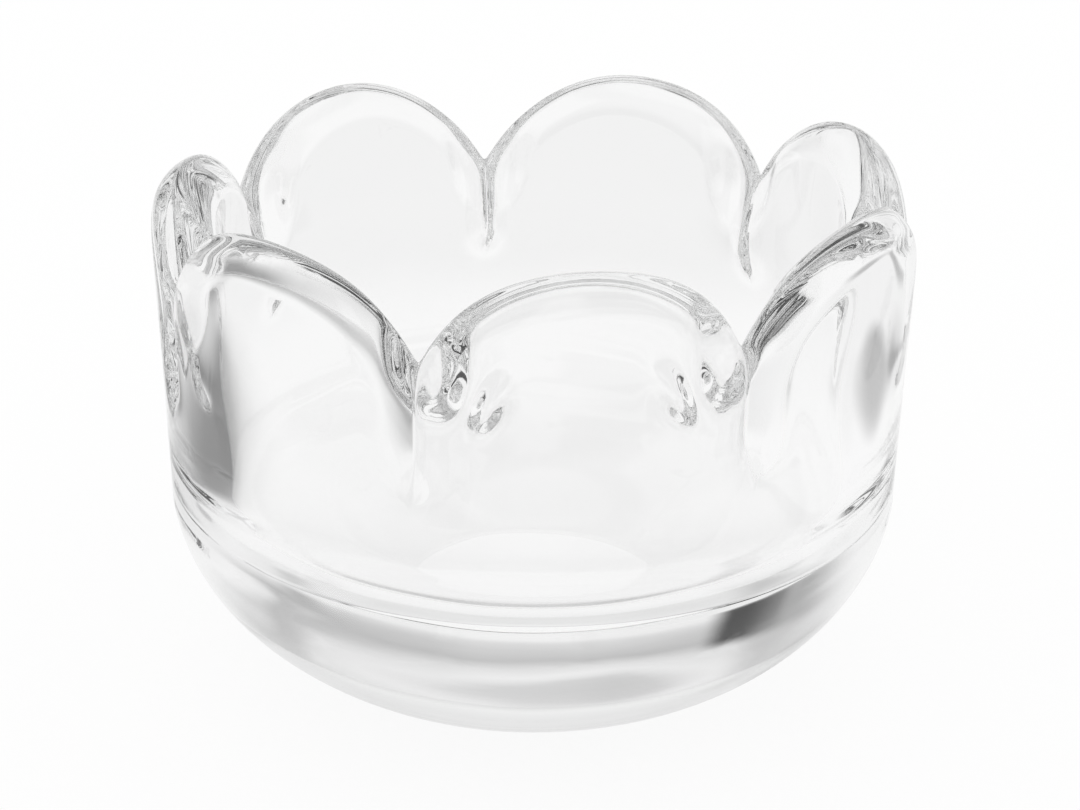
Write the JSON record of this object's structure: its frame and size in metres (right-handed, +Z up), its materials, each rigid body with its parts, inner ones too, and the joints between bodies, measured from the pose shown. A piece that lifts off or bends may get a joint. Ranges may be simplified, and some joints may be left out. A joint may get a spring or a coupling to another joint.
{
  "type": "floating candle bowl",
  "caption": "Thick clear glass bowl with a rounded solid base and a scalloped wall of arched petals, for water and a floating candle.",
  "frame": {"origin": "middle of the flat foot, on the surface that the bowl stands on", "axes": "+Z up along the bowl's axis; -Y through the middle of petal_1; +X to the right seen from that petal's side"},
  "size_m": [0.1098, 0.1095, 0.0796],
  "materials": {
    "clear_glass": "fire-polished clear glass"
  },
  "bodies": {
    "root": {"base": "clear_glass", "petal_1": "clear_glass", "petal_2": "clear_glass", "petal_3": "clear_glass", "petal_4": "clear_glass", "petal_5": "clear_glass", "petal_6": "clear_glass", "petal_7": "clear_glass"}
  },
  "joints": []
}
